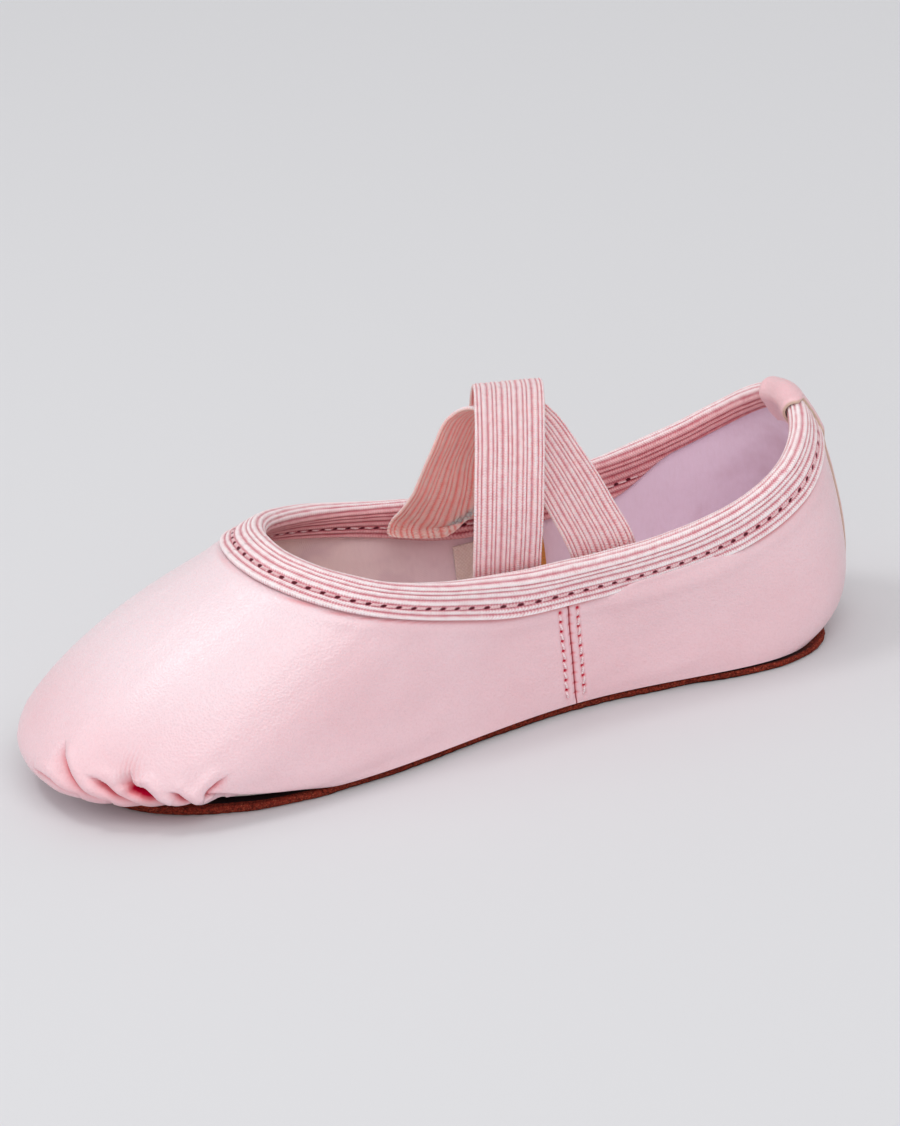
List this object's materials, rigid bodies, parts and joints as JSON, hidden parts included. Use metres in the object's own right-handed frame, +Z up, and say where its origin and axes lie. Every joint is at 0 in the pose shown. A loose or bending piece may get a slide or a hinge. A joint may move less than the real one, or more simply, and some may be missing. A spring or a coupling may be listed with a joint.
{
  "type": "ballet slipper",
  "caption": "Soft ballet slipper with a closed rounded toe, elastic-bound collar, heel tab, full flat sole and crossed elastic straps over the instep.",
  "frame": {"origin": "centre of the bounding box at the bottom of the sole, on the floor", "axes": "+X from toe to heel, +Z up, -Y towards the side of strap_over's front end"},
  "size_m": [0.1874, 0.07, 0.0692],
  "materials": {
    "brown_suede": "napped suede",
    "sock_cotton": "plain cotton",
    "pink_leather": "smooth, satin",
    "strip_leather": "smooth, satin",
    "lining_cotton": "plain weave cotton",
    "ribbed_elastic": "ribbed woven elastic",
    "cream_tape": "ribbed cotton tape",
    "pink_thread": "spun thread"
  },
  "bodies": {
    "shoe": {"outsole": "brown_suede", "insole": "sock_cotton", "vamp": "pink_leather", "quarter_left": "pink_leather", "quarter_right": "pink_leather", "vamp_lining": "lining_cotton", "quarter_lining_left": "lining_cotton", "quarter_lining_right": "lining_cotton", "collar_binding": "ribbed_elastic", "back_strip": "strip_leather", "side_seam_tape_left": "cream_tape", "side_seam_tape_right": "cream_tape", "collar_stitching": "pink_thread", "side_seam_stitching_left_front": "pink_thread", "side_seam_stitching_left_rear": "pink_thread", "side_seam_stitching_right_front": "pink_thread", "side_seam_stitching_right_rear": "pink_thread"},
    "strap_over": {"strap_over": "ribbed_elastic"},
    "strap_under": {"strap_under": "ribbed_elastic"}
  },
  "joints": [
    {"name": "strap_over_lean", "type": "hinge", "parent": "shoe", "child": "strap_over", "pos_m": [0.0168, 0, 0.0355], "axis": [0.3453, 0.9385, 0], "range_deg": [-12, 12], "stiffness_Nm_per_rad": 0.02},
    {"name": "strap_under_lean", "type": "hinge", "parent": "shoe", "child": "strap_under", "pos_m": [0.018, 0, 0.0355], "axis": [-0.6367, 0.7712, 0], "range_deg": [-12, 12], "stiffness_Nm_per_rad": 0.02}
  ]
}
